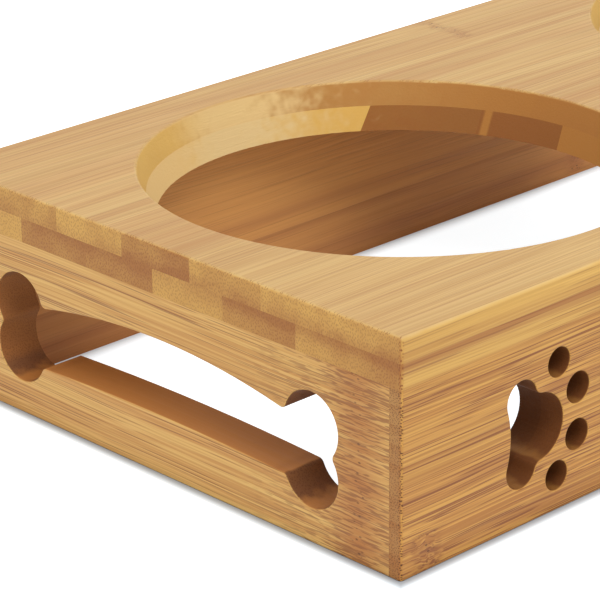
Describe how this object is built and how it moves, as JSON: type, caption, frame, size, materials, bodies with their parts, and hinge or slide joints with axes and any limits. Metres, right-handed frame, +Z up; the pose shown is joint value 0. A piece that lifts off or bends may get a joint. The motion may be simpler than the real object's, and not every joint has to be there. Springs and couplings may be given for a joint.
{
  "type": "raised pet feeder stand",
  "caption": "Low laminated bamboo feeder stand with tapered round bowl holes, bone-shaped hand holds in its ends and paw cut-outs in its front.",
  "frame": {"origin": "on the floor, at the middle of the stand's footprint", "axes": "+X along the length, +Y from the paw-cut front to the plain back, +Z up"},
  "size_m": [0.4, 0.19, 0.07],
  "materials": {
    "upper_layer_bamboo": "satin lacquered bamboo",
    "lower_layer_bamboo": "satin lacquered bamboo",
    "front_bamboo": "satin lacquered bamboo",
    "back_bamboo": "satin lacquered bamboo",
    "end_bamboo": "satin lacquered bamboo"
  },
  "bodies": {
    "root": {"back_panel": "back_bamboo", "end_panel_left": "end_bamboo", "end_panel_right": "end_bamboo", "front_inner_layer": "front_bamboo", "front_outer_layer": "front_bamboo", "lower_strip_1": "lower_layer_bamboo", "lower_strip_2": "lower_layer_bamboo", "lower_strip_3_left": "lower_layer_bamboo", "lower_strip_3_right": "lower_layer_bamboo", "lower_strip_3_web": "lower_layer_bamboo", "lower_strip_4_left": "lower_layer_bamboo", "lower_strip_4_right": "lower_layer_bamboo", "lower_strip_4_web": "lower_layer_bamboo", "lower_strip_5_left": "lower_layer_bamboo", "lower_strip_5_right": "lower_layer_bamboo", "lower_strip_5_web": "lower_layer_bamboo", "lower_strip_6_left": "lower_layer_bamboo", "lower_strip_6_right": "lower_layer_bamboo", "lower_strip_6_web": "lower_layer_bamboo", "lower_strip_7": "lower_layer_bamboo", "lower_strip_8": "lower_layer_bamboo", "upper_strip_1": "upper_layer_bamboo", "upper_strip_2_left": "upper_layer_bamboo", "upper_strip_2_right": "upper_layer_bamboo", "upper_strip_2_web": "upper_layer_bamboo", "upper_strip_3_left": "upper_layer_bamboo", "upper_strip_3_right": "upper_layer_bamboo", "upper_strip_3_web": "upper_layer_bamboo", "upper_strip_4_left": "upper_layer_bamboo", "upper_strip_4_right": "upper_layer_bamboo", "upper_strip_4_web": "upper_layer_bamboo", "upper_strip_5_left": "upper_layer_bamboo", "upper_strip_5_right": "upper_layer_bamboo", "upper_strip_5_web": "upper_layer_bamboo", "upper_strip_6_left": "upper_layer_bamboo", "upper_strip_6_right": "upper_layer_bamboo", "upper_strip_6_web": "upper_layer_bamboo", "upper_strip_7": "upper_layer_bamboo"}
  },
  "joints": []
}
